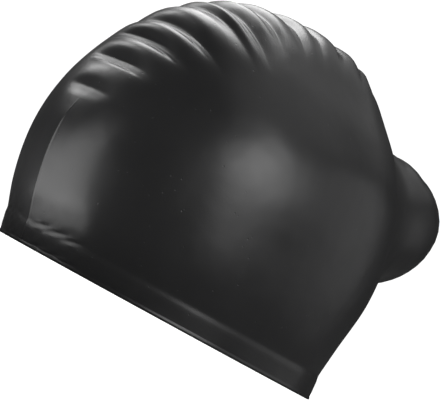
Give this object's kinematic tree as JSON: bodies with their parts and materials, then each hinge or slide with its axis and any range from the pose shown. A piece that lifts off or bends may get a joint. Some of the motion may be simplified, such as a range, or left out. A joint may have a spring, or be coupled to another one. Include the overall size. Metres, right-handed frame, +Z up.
{
  "type": "swim cap",
  "caption": "One-piece rubber swim cap for long hair, with a pleated crown, a bun pouch at the back and a flared rim band.",
  "frame": {"origin": "on the plane of the rim's flat edge, under the middle of the cap's whole length and width, bun pouch included", "axes": "+Z up from the rim to the crown, -Y towards the wearer's forehead, +Y towards the bun pouch, +X to the wearer's left"},
  "size_m": [0.1538, 0.2352, 0.1579],
  "materials": {
    "silicone": "satin moulded silicone rubber, black"
  },
  "bodies": {
    "root": {"cap_shell": "silicone"}
  },
  "joints": []
}
